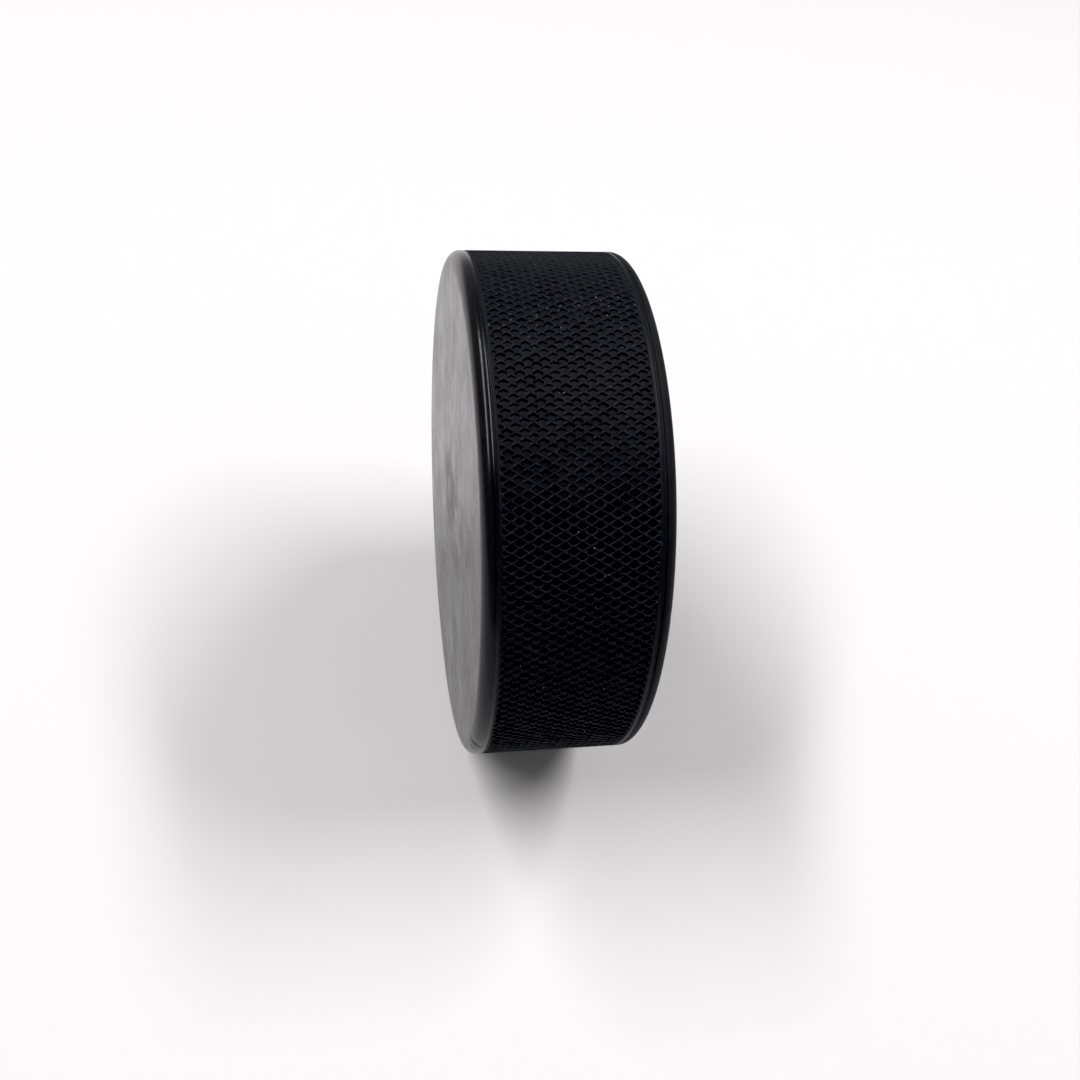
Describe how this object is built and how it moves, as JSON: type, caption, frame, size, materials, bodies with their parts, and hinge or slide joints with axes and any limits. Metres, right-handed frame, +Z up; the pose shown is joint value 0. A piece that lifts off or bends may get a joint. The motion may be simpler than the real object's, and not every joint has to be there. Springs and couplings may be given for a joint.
{
  "type": "hockey puck",
  "caption": "Flat round disc of solid black rubber with rounded rims and a diamond-patterned grip band round its edge, for ice hockey.",
  "frame": {"origin": "point on the surface that the puck's edge rests on, right under the middle of the puck", "axes": "+X along the puck's axis, out of its right face; +Z up, as the puck stands on its edge; +Y away from the viewer"},
  "size_m": [0.0254, 0.0762, 0.0762],
  "materials": {
    "black_rubber": "moulded vulcanised rubber, satin, with a diamond-patterned edge"
  },
  "bodies": {
    "root": {"puck_body": "black_rubber"}
  },
  "joints": []
}
